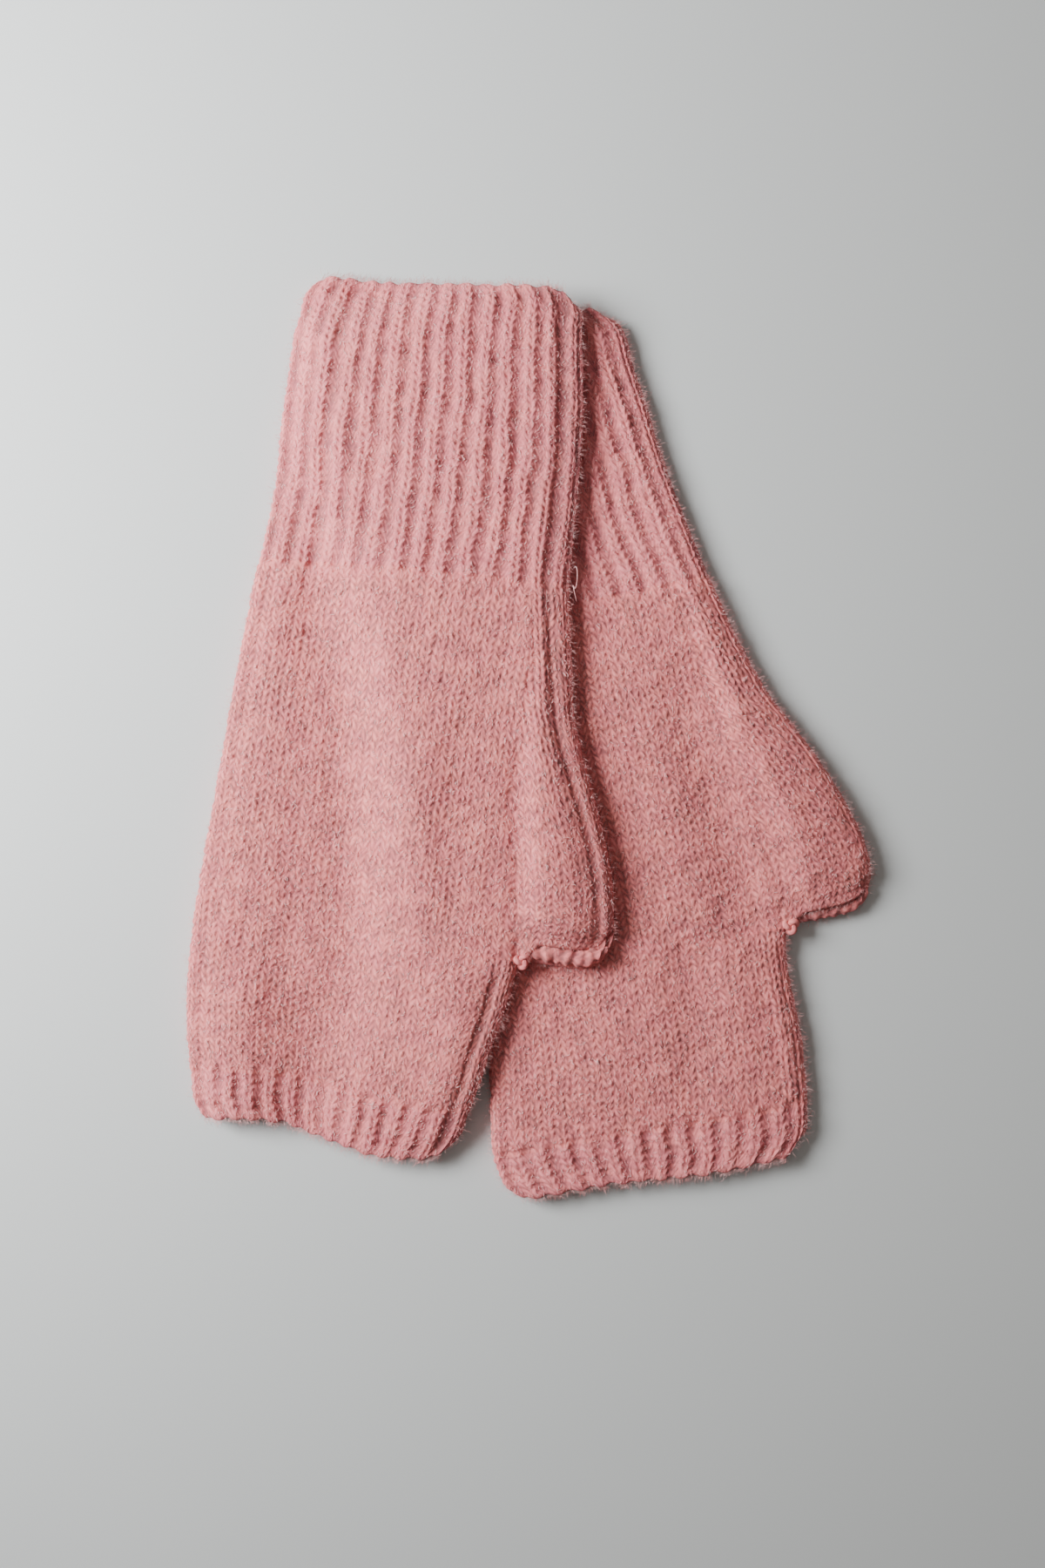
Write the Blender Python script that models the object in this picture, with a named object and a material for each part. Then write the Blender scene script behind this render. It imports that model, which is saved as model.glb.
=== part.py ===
"""A pair of knitted wool half-mittens, laid flat with one lying over the other.

Each mitten is a flattened tube in four stretches: a ribbed cuff, a plain hand that
widens for the half thumb, a plain finger part and a ribbed band. The table that the
pair lies on is the plane Z = 0, the cuffs point to +Y, and the origin is under the
middle of the pair.
"""

import math
from bisect import bisect_right
from collections import namedtuple

import bpy
from mathutils import Vector

MM = 0.001

# Cloth
WALL = 2.1              # thickness of the knitted wall
RIB_DEPTH = 0.85        # height of a rib over the gully beside it
RIBS_ON_TOP = 14        # ribs across the upper side of the flattened tube
RIB_POINTS = (0.08, 0.42, 0.7, 0.82)   # where points lie over a rib and its gully
POINTS_UNDERNEATH = 16
FOLD_ROUND = 3.0        # sideways reach of the rounded edge of a flattened tube
ROLL_WIDTH = 5.0        # the rolled left edge goes on rising over this width
ROLL_RISE = 0.5
SEAM_EDGE_HEIGHT = 5.4
LAYER_GAP = 0.4         # clear gap between one mitten and the other

# Thumb-side seam: a groove on the top, a little inside the right edge
SEAM_FROM_EDGE = 4.6
SEAM_HALF_WIDTH = 1.7
SEAM_DEPTH = 0.8

# Where each mitten lies: the middle of its cuff edge, and its lean from the Y axis
Place = namedtuple("Place", "x y lean")
UPPER_PLACE = Place(-21.017, 108.81, 8.0)
UNDER_PLACE = Place(-12.817, 99.91, -11.9)

# The upper mitten climbs over the left edge and over the cuff end of the under one.
# Its finger end isn't held up any more and sags towards the table.
UNDER_THICKNESS = 5.6
CUFF_CLIMB_RUN = 16.0   # length of the slope beside the under mitten
WRIST_CLIMB_RUN = 20.0
FINGER_CLIMB_RUN = 32.0
CLIMB_LEAD = 3.0        # full height is reached this far before its edge
SAG_START = 184.0       # along the upper mitten
SAG_RUN = 26.0
SAG_SHARE = 0.75

# One row for each section across a mitten, in mm. "along" runs from the cuff edge to
# the hem, "left", "crease" and "right" lie across it. The crease parts the palm from
# the thumb. "roll", "trough", "middle", "crease_top" and "thumb" are the height of the
# top over the underside: on the rolled left edge, in the trough at "trough_at" across,
# at the middle, in the crease and on the thumb. "wave" bends the section along the
# mitten, "slant" moves its right end towards the hem, and "thumb_back" draws the top
# layer back at the mouth of the thumb.
Section = namedtuple(
    "Section",
    "along left crease right roll trough_at trough middle crease_top thumb wave "
    "slant thumb_back",
)

UPPER_CUFF = (
    Section(0.0, -31.6, 24.0, 31.0, 5.6, -22.0, 5.4, 5.8, 5.6, 5.4, 0.0, -3.4, 0.0),
    Section(3.0, -33.6, 26.0, 34.0, 5.8, -22.0, 5.3, 5.8, 5.6, 5.4, 0.0, -3.4, 0.0),
    Section(10.0, -34.6, 27.8, 35.6, 5.9, -22.0, 5.2, 5.8, 5.6, 5.4, 0.0, -3.4, 0.0),
    Section(17.0, -35.3, 29.0, 36.8, 6.0, -22.0, 5.2, 5.8, 5.5, 5.4, 0.0, -3.4, 0.0),
    Section(26.0, -35.5, 30.0, 38.2, 6.0, -22.0, 5.2, 5.8, 5.5, 5.4, 0.0, -3.4, 0.0),
    Section(36.5, -35.6, 31.0, 39.2, 6.0, -22.0, 5.2, 5.9, 5.5, 5.4, 0.0, -3.4, 0.0),
    Section(53.5, -35.0, 31.5, 40.2, 6.0, -21.2, 5.2, 5.9, 5.5, 5.4, 0.0, -3.4, 0.0),
    Section(70.0, -36.2, 31.6, 41.0, 6.0, -20.3, 5.2, 5.9, 5.4, 5.6, 0.0, -3.4, 0.0),
)
UPPER_HAND = (
    Section(70.3, -36.2, 31.6, 41.0, 6.0, -20.3, 5.2, 5.9, 5.4, 5.6, 0.0, -3.4, 0.0),
    Section(77.0, -36.8, 32.3, 42.0, 6.2, -19.9, 5.1, 6.0, 5.4, 5.7, 0.0, -3.4, 0.0),
    Section(85.0, -37.2, 33.0, 43.5, 6.3, -19.5, 5.0, 6.2, 5.4, 5.9, 0.0, -3.1, 0.0),
    Section(93.0, -37.6, 33.1, 45.0, 6.4, -19.0, 5.0, 6.3, 5.3, 6.1, 0.0, -2.7, 0.0),
    Section(101.0, -38.0, 33.3, 46.9, 6.5, -18.6, 5.0, 6.3, 5.2, 6.4, 0.0, -2.0, 0.0),
    Section(109.0, -38.2, 33.3, 50.0, 6.6, -18.1, 5.0, 6.3, 5.1, 6.8, 0.0, -1.4, 0.0),
    Section(116.0, -38.4, 33.4, 53.3, 6.6, -17.8, 4.9, 6.3, 5.0, 7.1, 0.0, -0.8, 0.0),
    Section(123.0, -38.7, 34.0, 56.5, 6.6, -17.4, 4.9, 6.3, 4.9, 7.4, 0.0, -0.4, 0.0),
    Section(130.5, -39.0, 35.0, 59.4, 6.6, -16.9, 4.9, 6.2, 4.8, 7.6, 0.0, -0.1, 0.0),
    Section(137.5, -39.3, 36.2, 61.4, 6.6, -16.6, 4.8, 6.1, 4.8, 7.6, 0.0, 0.0, 0.0),
    Section(144.5, -39.5, 37.3, 62.6, 6.6, -16.2, 4.8, 6.0, 4.8, 7.4, 0.0, 0.0, 0.6),
    Section(151.5, -39.7, 38.4, 63.2, 6.6, -15.8, 4.8, 6.0, 4.8, 7.1, 0.0, 0.0, 2.4),
    Section(158.0, -39.8, 40.6, 62.0, 6.6, -15.4, 4.8, 6.0, 4.8, 6.8, 0.0, 0.0, 4.6),
)
UPPER_FINGERS = (
    Section(158.3, -39.8, 34.0, 41.2, 6.6, -15.4, 4.8, 6.0, 5.4, 5.4, 0.0, 0.0, 0.0),
    Section(168.5, -39.6, 33.0, 40.1, 6.6, -14.8, 4.8, 6.0, 5.4, 5.4, 0.3, 0.0, 0.0),
    Section(181.0, -38.6, 31.0, 37.6, 6.4, -14.1, 4.8, 5.9, 5.4, 5.4, 0.9, 0.0, 0.0),
    Section(189.0, -37.2, 30.0, 36.2, 6.2, -13.7, 4.9, 5.8, 5.4, 5.4, 1.4, 0.0, 0.0),
    Section(196.0, -35.6, 29.0, 34.9, 6.0, -13.3, 5.0, 5.7, 5.4, 5.4, 1.8, 0.0, 0.0),
)
UPPER_BAND = (
    Section(196.45, -35.5, 29.0, 34.8, 6.0, -13.3, 5.0, 5.7, 5.4, 5.4, 1.8, 0.0, 0.0),
    Section(204.5, -33.4, 26.5, 32.6, 6.0, -12.8, 5.2, 5.7, 5.4, 5.4, 2.3, 0.0, 0.0),
    Section(208.4, -31.0, 24.0, 30.2, 5.6, -12.6, 5.2, 5.6, 5.4, 5.4, 2.6, 0.0, 0.0),
)

UNDER_CUFF = (
    Section(0.0, -30.0, 24.0, 30.4, 5.6, -20.0, 5.6, 5.6, 5.6, 5.6, 0.0, 0.0, 0.0),
    Section(3.0, -32.0, 26.0, 33.4, 5.6, -20.0, 5.6, 5.6, 5.6, 5.6, 0.0, 0.0, 0.0),
    Section(18.0, -32.6, 29.0, 36.6, 5.6, -20.0, 5.6, 5.6, 5.6, 5.6, 0.0, 0.0, 0.0),
    Section(35.5, -33.2, 30.5, 38.4, 5.6, -20.0, 5.6, 5.6, 5.6, 5.6, 0.0, 0.0, 0.0),
    Section(52.5, -33.6, 32.2, 40.6, 5.6, -20.0, 5.6, 5.6, 5.6, 5.8, 0.0, 0.0, 0.0),
    Section(70.0, -33.2, 33.8, 43.8, 5.6, -20.0, 5.6, 5.6, 5.5, 6.0, 0.0, 0.0, 0.0),
)
UNDER_HAND = (
    Section(70.3, -33.2, 33.8, 43.8, 5.6, -20.0, 5.6, 5.6, 5.5, 6.0, 0.0, 0.0, 0.0),
    Section(77.5, -33.0, 34.7, 45.4, 5.6, -20.0, 5.6, 5.6, 5.4, 6.2, 0.0, 0.0, 0.0),
    Section(85.5, -32.9, 35.6, 47.2, 5.6, -20.0, 5.6, 5.6, 5.3, 6.4, 0.0, 0.0, 0.0),
    Section(93.5, -32.8, 36.4, 49.5, 5.6, -20.0, 5.6, 5.6, 5.2, 6.6, 0.0, 0.0, 0.0),
    Section(101.5, -32.8, 37.4, 52.2, 5.6, -20.0, 5.6, 5.6, 5.1, 6.9, 0.0, 0.0, 0.0),
    Section(109.5, -32.8, 38.6, 56.0, 5.6, -20.0, 5.6, 5.6, 5.0, 7.2, 0.0, 0.0, 0.0),
    Section(116.5, -32.8, 39.8, 59.4, 5.6, -20.0, 5.6, 5.6, 4.9, 7.5, 0.0, 0.0, 0.0),
    Section(123.5, -32.8, 40.8, 62.3, 5.6, -20.0, 5.6, 5.6, 4.8, 7.7, 0.0, 0.0, 0.0),
    Section(130.5, -32.8, 41.6, 64.8, 5.6, -20.0, 5.6, 5.6, 4.8, 7.8, 0.0, 0.0, 0.0),
    Section(137.5, -32.9, 42.3, 66.8, 5.6, -20.0, 5.6, 5.6, 4.8, 7.7, 0.0, 0.0, 0.0),
    Section(144.5, -33.0, 42.8, 67.8, 5.6, -20.0, 5.6, 5.6, 4.8, 7.5, 0.0, 0.0, 0.4),
    Section(151.5, -33.1, 43.2, 67.6, 5.6, -20.0, 5.6, 5.6, 4.8, 7.1, 0.0, 0.0, 1.4),
    Section(158.0, -33.3, 44.0, 65.8, 5.6, -20.0, 5.6, 5.6, 4.8, 6.8, 0.0, 0.0, 2.6),
)
UNDER_FINGERS = (
    Section(158.3, -33.3, 36.0, 44.2, 5.6, -20.0, 5.6, 5.6, 5.5, 5.4, 0.0, 0.0, 0.0),
    Section(168.5, -34.2, 36.0, 43.0, 5.6, -20.0, 5.6, 5.6, 5.4, 5.5, 0.0, 0.2, 0.0),
    Section(183.5, -36.0, 35.0, 42.8, 5.6, -20.0, 5.6, 5.6, 5.3, 5.6, 0.2, 0.9, 0.0),
    Section(191.5, -37.5, 34.6, 42.0, 5.6, -20.0, 5.6, 5.6, 5.3, 5.6, 0.4, 1.6, 0.0),
    Section(199.0, -38.6, 34.0, 41.0, 5.6, -20.0, 5.6, 5.6, 5.4, 5.6, 0.6, 2.2, 0.0),
)
UNDER_BAND = (
    Section(199.4, -38.6, 34.0, 41.0, 5.6, -20.0, 5.6, 5.6, 5.4, 5.6, 0.6, 2.2, 0.0),
    Section(207.0, -36.8, 31.0, 38.2, 5.6, -20.0, 5.6, 5.6, 5.4, 5.6, 0.8, 2.6, 0.0),
    Section(210.6, -34.2, 27.0, 34.4, 5.6, -20.0, 5.6, 5.6, 5.4, 5.6, 0.8, 2.8, 0.0),
)

# Where points lie round a plain section, in mm from its left and its right edge.
# The rest of the top and of the underside is shared out evenly.
LEFT_STEPS = (1.5, 3.0, 4.7)
RIGHT_STEPS = (1.5, 3.0, 4.7, 5.8, 7.0, 8.2)
UNDERNEATH_STEPS = (1.5, 3.0, 4.7)
PLAIN_MIDDLE_POINTS = 19

# Wool colours: the upper mitten lies in the light, the under one a little less
Wool = namedtuple("Wool", "red green blue")
PLAIN_WOOL = Wool(0.62, 0.34, 0.315)
RIB_WOOL = Wool(0.58, 0.31, 0.29)
WOOL_ROUGHNESS = 0.95


def smooth_step(value):
    value = min(max(value, 0.0), 1.0)
    return value * value * (3.0 - 2.0 * value)


def smooth_between(x, stops):
    """Height at x, easing from each (position, height) stop to the next one."""
    positions = [stop[0] for stop in stops]
    after = bisect_right(positions, x)
    if after == 0:
        return stops[0][1]
    if after == len(stops):
        return stops[-1][1]
    start, start_height = stops[after - 1]
    end, end_height = stops[after]
    share = smooth_step((x - start) / (end - start))
    return start_height + share * (end_height - start_height)


def to_table(place, across, along):
    """Point on the table, in mm, of a point given across and along a mitten."""
    lean = math.radians(place.lean)
    x = place.x + across * math.cos(lean) - along * math.sin(lean)
    y = place.y - across * math.sin(lean) - along * math.cos(lean)
    return x, y


def to_mitten(place, x, y):
    lean = math.radians(place.lean)
    x -= place.x
    y -= place.y
    across = x * math.cos(lean) - y * math.sin(lean)
    along = -x * math.sin(lean) - y * math.cos(lean)
    return across, along


def under_left_edge(along):
    """Across position of the under mitten's left edge."""
    sections = UNDER_CUFF + UNDER_HAND + UNDER_FINGERS + UNDER_BAND
    stations = [section.along for section in sections]
    after = min(max(bisect_right(stations, along), 1), len(sections) - 1)
    first = sections[after - 1]
    last = sections[after]
    share = min(max((along - first.along) / (last.along - first.along), 0.0), 1.0)
    return first.left + share * (last.left - first.left)


def lift_over_under_mitten(x, y):
    """Height of the upper mitten's underside over the table."""
    across, along = to_mitten(UNDER_PLACE, x, y)
    upper_along = to_mitten(UPPER_PLACE, x, y)[1]
    widening = smooth_step((upper_along - 60.0) / 130.0)
    run = WRIST_CLIMB_RUN + widening * (FINGER_CLIMB_RUN - WRIST_CLIMB_RUN)
    inside = across - under_left_edge(along)
    from_left = smooth_step((inside + run) / (run - CLIMB_LEAD))
    from_cuff = smooth_step((along + CUFF_CLIMB_RUN) / (CUFF_CLIMB_RUN - CLIMB_LEAD))
    sag = SAG_SHARE * smooth_step((upper_along - SAG_START) / SAG_RUN)
    return (UNDER_THICKNESS + LAYER_GAP) * from_left * from_cuff * (1.0 - sag)


def lie_on_table(x, y):
    return 0.0


def top_height(section, across):
    """Height of the top layer's outside over the mitten's underside."""
    fold = section.left + FOLD_ROUND
    palm_middle = 0.45 * section.trough_at + 0.55 * section.crease
    thumb_middle = 0.65 * section.crease + 0.35 * section.right
    stops = (
        (fold, section.roll - ROLL_RISE),
        (fold + ROLL_WIDTH, section.roll),
        (section.trough_at, section.trough),
        (palm_middle, section.middle),
        (section.crease, section.crease_top),
        (thumb_middle, section.thumb),
        (section.right - FOLD_ROUND, 0.5 * (section.thumb + SEAM_EDGE_HEIGHT)),
    )
    return smooth_between(across, stops)


def ring_outline(section):
    """Closely spaced (across, height) points of the top, left to right, and of the
    underside, right to left. Both start and end half way up the folded edges."""
    arc_steps = 8
    run_steps = 60
    left = section.left + FOLD_ROUND
    right = section.right - FOLD_ROUND
    top = []
    underneath = []
    for step in range(arc_steps):
        angle = 0.5 * math.pi * step / arc_steps
        half = 0.5 * top_height(section, left)
        across = left - FOLD_ROUND * math.cos(angle)
        top.append((across, half + half * math.sin(angle)))
    for step in range(run_steps + 1):
        across = left + (right - left) * step / run_steps
        top.append((across, top_height(section, across)))
    for step in range(arc_steps):
        angle = 0.5 * math.pi * (arc_steps - 1 - step) / arc_steps
        half = 0.5 * top_height(section, right)
        across = right + FOLD_ROUND * math.cos(angle)
        top.append((across, half + half * math.sin(angle)))
    for step in range(arc_steps):
        angle = 0.5 * math.pi * step / arc_steps
        half = 0.5 * top_height(section, right)
        across = right + FOLD_ROUND * math.cos(angle)
        underneath.append((across, half - half * math.sin(angle)))
    for step in range(run_steps + 1):
        across = right - (right - left) * step / run_steps
        underneath.append((across, 0.0))
    for step in range(arc_steps):
        angle = 0.5 * math.pi * (arc_steps - 1 - step) / arc_steps
        half = 0.5 * top_height(section, left)
        across = left - FOLD_ROUND * math.cos(angle)
        underneath.append((across, half - half * math.sin(angle)))
    return top, underneath


def running_lengths(outline):
    lengths = [0.0]
    for first, last in zip(outline, outline[1:]):
        lengths.append(lengths[-1] + math.dist(first, last))
    return lengths


def point_and_normal(outline, lengths, distance):
    """Point at a distance along an outline, and its outward normal."""
    after = min(max(bisect_right(lengths, distance), 1), len(lengths) - 1)
    start = Vector(outline[after - 1])
    end = Vector(outline[after])
    share = (distance - lengths[after - 1]) / (lengths[after] - lengths[after - 1])
    ahead = Vector(outline[min(after + 1, len(outline) - 1)])
    behind = Vector(outline[max(after - 2, 0)])
    run = (ahead - behind).normalized()
    return start.lerp(end, share), Vector((-run.y, run.x))


def rib_height(share):
    """Height, 0 to 1, over one rib and the gully after it."""
    if share < 0.5:
        return 1.0
    if share < 0.68:
        return 1.0 - (share - 0.5) / 0.18
    if share < 0.82:
        return 0.0
    return (share - 0.82) / 0.18


def ribbed_top(length):
    """Distances along the top, and how far each point is cut back for the ribs."""
    points = []
    rib = length / RIBS_ON_TOP
    for index in range(RIBS_ON_TOP):
        for share in RIB_POINTS:
            depth = RIB_DEPTH * (1.0 - rib_height(share))
            points.append(((index + share) * rib, depth))
    return points


def plain_top(length):
    distances = [0.0]
    distances.extend(LEFT_STEPS)
    start = LEFT_STEPS[-1]
    end = length - RIGHT_STEPS[-1]
    for index in range(1, PLAIN_MIDDLE_POINTS + 1):
        share = index / (PLAIN_MIDDLE_POINTS + 1)
        distances.append(start + share * (end - start))
    distances.extend(length - step for step in reversed(RIGHT_STEPS))
    return [(distance, 0.0) for distance in distances]


def plain_underneath(length):
    distances = [0.0]
    distances.extend(UNDERNEATH_STEPS)
    start = UNDERNEATH_STEPS[-1]
    end = length - UNDERNEATH_STEPS[-1]
    middle = POINTS_UNDERNEATH - 2 * len(UNDERNEATH_STEPS) - 1
    for index in range(1, middle + 1):
        share = index / (middle + 1)
        distances.append(start + share * (end - start))
    distances.extend(length - step for step in reversed(UNDERNEATH_STEPS))
    return distances


def seam_depth(section, across):
    """How far the thumb-side seam draws the top in."""
    off = abs(across - (section.right - SEAM_FROM_EDGE))
    return SEAM_DEPTH * (1.0 - smooth_step(off / SEAM_HALF_WIDTH))


def bend(section, across, height):
    """How far a point of a section is moved along the mitten."""
    share = (across - section.left) / (section.right - section.left)
    moved = section.slant * share - section.wave * math.sin(2.0 * math.pi * share)
    on_top = smooth_step((height - WALL) / WALL)
    on_thumb = smooth_step((across - section.crease) / 5.0)
    return moved - section.thumb_back * on_top * on_thumb


def ring_points(section, place, lift, ribbed):
    """Outer and inner points round one section, on the table and in metres."""
    top, underneath = ring_outline(section)
    top_lengths = running_lengths(top)
    underneath_lengths = running_lengths(underneath)
    spots = []
    top_spots = ribbed_top(top_lengths[-1]) if ribbed else plain_top(top_lengths[-1])
    for distance, depth in top_spots:
        point, normal = point_and_normal(top, top_lengths, distance)
        spots.append((point, normal, max(depth, seam_depth(section, point.x))))
    for distance in plain_underneath(underneath_lengths[-1]):
        point, normal = point_and_normal(underneath, underneath_lengths, distance)
        spots.append((point, normal, 0.0))
    outer = []
    inner = []
    for point, normal, depth in spots:
        for ring, inset in ((outer, depth), (inner, WALL)):
            across = point.x - normal.x * inset
            height = point.y - normal.y * inset
            along = section.along + bend(section, point.x, point.y)
            x, y = to_table(place, across, along)
            ring.append(Vector((x, y, height + lift(x, y))) * MM)
    return outer, inner


def loft_tube(name, sections, place, lift, ribbed):
    """Closed wall through the sections: outside, inside and the two cut edges."""
    vertices = []
    for section in sections:
        outer, inner = ring_points(section, place, lift, ribbed)
        vertices.extend(outer)
        vertices.extend(inner)
    around = len(vertices) // (2 * len(sections))
    faces = []
    for row in range(len(sections) - 1):
        for step in range(around):
            after = (step + 1) % around
            near = row * 2 * around
            far = near + 2 * around
            faces.append((near + step, far + step, far + after, near + after))
            near += around
            far += around
            faces.append((near + step, near + after, far + after, far + step))
    last = (len(sections) - 1) * 2 * around
    for step in range(around):
        after = (step + 1) % around
        faces.append((step, after, around + after, around + step))
        faces.append((last + step, last + around + step, last + around + after, last + after))
    mesh = bpy.data.meshes.new(name)
    mesh.from_pydata(vertices, [], faces)
    mesh.shade_smooth()
    mesh.set_sharp_from_angle(angle=math.radians(50.0))
    return bpy.data.objects.new(name, mesh)


def wool_material(name, wool):
    material = bpy.data.materials.new(name)
    material.use_nodes = True
    shader = material.node_tree.nodes["Principled BSDF"]
    shader.inputs["Base Color"].default_value = (wool.red, wool.green, wool.blue, 1.0)
    shader.inputs["Roughness"].default_value = WOOL_ROUGHNESS
    shader.inputs["Metallic"].default_value = 0.0
    return material


for old in list(bpy.data.objects):
    bpy.data.objects.remove(old, do_unlink=True)

pair = bpy.data.collections.new("knitted_half_mittens")
bpy.context.scene.collection.children.link(pair)

PIECES = (
    ("upper_cuff", UPPER_CUFF, UPPER_PLACE, lift_over_under_mitten, True),
    ("upper_hand", UPPER_HAND, UPPER_PLACE, lift_over_under_mitten, False),
    ("upper_fingers", UPPER_FINGERS, UPPER_PLACE, lift_over_under_mitten, False),
    ("upper_band", UPPER_BAND, UPPER_PLACE, lift_over_under_mitten, True),
    ("under_cuff", UNDER_CUFF, UNDER_PLACE, lie_on_table, True),
    ("under_hand", UNDER_HAND, UNDER_PLACE, lie_on_table, False),
    ("under_fingers", UNDER_FINGERS, UNDER_PLACE, lie_on_table, False),
    ("under_band", UNDER_BAND, UNDER_PLACE, lie_on_table, True),
)

for piece_name, piece_sections, piece_place, piece_lift, is_ribbed in PIECES:
    piece = loft_tube(piece_name, piece_sections, piece_place, piece_lift, is_ribbed)
    wool = RIB_WOOL if is_ribbed else PLAIN_WOOL
    piece.data.materials.append(wool_material(piece_name + "_wool", wool))
    pair.objects.link(piece)
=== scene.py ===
"""Looks for a pair of hand-knitted wool half-mittens, laid flat with one over the other."""

import math

import bmesh
import bpy
import numpy as np
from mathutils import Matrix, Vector


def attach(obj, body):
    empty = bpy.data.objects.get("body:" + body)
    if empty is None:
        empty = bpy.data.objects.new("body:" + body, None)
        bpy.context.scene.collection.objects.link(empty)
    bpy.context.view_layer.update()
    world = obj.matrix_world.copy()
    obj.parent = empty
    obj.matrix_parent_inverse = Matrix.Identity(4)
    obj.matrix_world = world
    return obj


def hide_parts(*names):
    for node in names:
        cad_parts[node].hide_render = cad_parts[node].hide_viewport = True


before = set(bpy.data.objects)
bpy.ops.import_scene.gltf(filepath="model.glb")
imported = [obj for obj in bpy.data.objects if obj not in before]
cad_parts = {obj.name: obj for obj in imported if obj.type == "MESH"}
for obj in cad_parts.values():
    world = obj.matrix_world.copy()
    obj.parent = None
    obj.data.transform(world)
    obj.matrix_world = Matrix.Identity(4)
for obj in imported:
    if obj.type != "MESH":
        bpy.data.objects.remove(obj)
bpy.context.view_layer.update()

# Under mitten: cuff
# A flattened tube of 1x1 rib in soft spun wool, 37 courses long. Raised columns of
# V stitches stand over narrow gullies of purl bumps. It is folded at the little-finger
# edge and sewn up a little inside the other one.

MM = 0.001
WALL = 2.1              # thickness of the knitted cloth
WALES_ON_TOP = 28       # columns of stitches across one side, two to a rib
RIB_DEPTH = 1.05
DEEPEST = 1.7           # no hollow goes deeper into the wall than this
FOLD_ROUND = 3.0
ROLL_WIDTH = 5.0
ROLL_RISE = 0.5
SEAM_EDGE_HEIGHT = 5.4
ROWS_PER_COURSE = 5     # rows of points in the mesh
COLUMNS_PER_WALE = 7
COLUMNS_UNDERNEATH = 3
STRAIGHT_WALES = (24, 5)    # for the spacing of columns over the palm and the thumb side
WIDENED_WALES = (25, 9)

# Middle of the cuff edge on the table, and lean from the Y axis
UNDER_PLACE = (-12.817, 99.91, -11.9)

# One row for each section across a mitten, in mm, from the cuff edge to the hem. The
# cloth is knitted on from each stretch to the next, so each ends where the next begins.
FIELDS = "along left crease right roll trough_at trough middle crease_top thumb wave slant back"
THICKNESS = 5.6         # a mitten that lies flat


def flat_sections(*rows):
    """Rows of along, left, crease and right, and where it isn't the usual, of
    crease_top, thumb, wave, slant and back, for a mitten with a level top."""
    level = (THICKNESS, -20.0, THICKNESS, THICKNESS)
    usual = (THICKNESS, THICKNESS, 0.0, 0.0, 0.0)
    return tuple(row[:4] + level + row[4:] + usual[len(row) - 4:] for row in rows)


UNDER_CUFF = flat_sections(
    (0.0, -30.0, 24.0, 30.4),
    (3.0, -32.0, 26.0, 33.4),
    (18.0, -32.6, 29.0, 36.6),
    (35.5, -33.2, 30.5, 38.4),
    (52.5, -33.6, 32.2, 40.6, 5.6, 5.8),
    (70.15, -33.2, 33.8, 43.8, 5.5, 6.0),
)


def smooth_step(value):
    value = np.clip(value, 0.0, 1.0)
    return value * value * (3.0 - 2.0 * value)


def to_table(place, across, along):
    lean = math.radians(place[2])
    x = place[0] + across * math.cos(lean) - along * math.sin(lean)
    y = place[1] - across * math.sin(lean) - along * math.cos(lean)
    return x, y


def lie_on_table(x, y):
    return np.zeros_like(x)


def through_sections(sections, stations):
    """A smooth curve through each column of a table of sections."""
    table = np.array(sections)
    at = table[:, 0]
    slopes = np.gradient(table, at, axis=0)
    after = np.clip(np.searchsorted(at, stations, side="right"), 1, len(at) - 1)
    step = (at[after] - at[after - 1])[:, None]
    share = (stations - at[after - 1])[:, None] / step
    rows = (1.0 + 2.0 * share) * (1.0 - share) ** 2 * table[after - 1]
    rows += share * (1.0 - share) ** 2 * step * slopes[after - 1]
    rows += share ** 2 * (3.0 - 2.0 * share) * table[after]
    rows += share ** 2 * (share - 1.0) * step * slopes[after]
    rows[:, 0] = stations
    return [dict(zip(FIELDS.split(), row)) for row in rows]


def top_height(row, across):
    """Height of the top layer's outside over the mitten's underside."""
    stops = np.array((
        (row["left"] + FOLD_ROUND, row["roll"] - ROLL_RISE),
        (row["left"] + FOLD_ROUND + ROLL_WIDTH, row["roll"]),
        (row["trough_at"], row["trough"]),
        (0.45 * row["trough_at"] + 0.55 * row["crease"], row["middle"]),
        (row["crease"], row["crease_top"]),
        (0.65 * row["crease"] + 0.35 * row["right"], row["thumb"]),
        (row["right"] - FOLD_ROUND, 0.5 * (row["thumb"] + SEAM_EDGE_HEIGHT)),
    ))
    after = np.clip(np.searchsorted(stops[:, 0], across, side="right"), 1, len(stops) - 1)
    at, height = stops[after - 1].T
    next_at, next_height = stops[after].T
    return height + smooth_step((across - at) / (next_at - at)) * (next_height - height)


def outlines(row):
    """(across, height) points over the top, left to right, and back underneath. Each
    has 12 points on a folded edge, 110 between the edges and 12 on the other one."""
    fold = row["left"] + FOLD_ROUND
    edge = row["right"] - FOLD_ROUND
    left_half = 0.5 * float(top_height(row, np.array([fold]))[0])
    right_half = 0.5 * float(top_height(row, np.array([edge]))[0])
    up = np.radians(np.arange(12) * 7.5)
    down = up[::-1]
    across = np.linspace(fold, edge, 110)
    top = np.concatenate((
        np.stack((fold - FOLD_ROUND * np.cos(up), left_half * (1.0 + np.sin(up))), 1),
        np.stack((across, top_height(row, across)), 1),
        np.stack((edge + FOLD_ROUND * np.cos(down), right_half * (1.0 + np.sin(down))), 1),
    ))
    under = np.concatenate((
        np.stack((edge + FOLD_ROUND * np.cos(up), right_half * (1.0 - np.sin(up))), 1),
        np.stack((across[::-1], np.zeros_like(across)), 1),
        np.stack((fold - FOLD_ROUND * np.cos(down), left_half * (1.0 - np.sin(down))), 1),
    ))
    return top, under


def points_at(distance, lengths, curve):
    return np.stack([np.interp(distance, lengths, values) for values in curve.T], 1)


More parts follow.
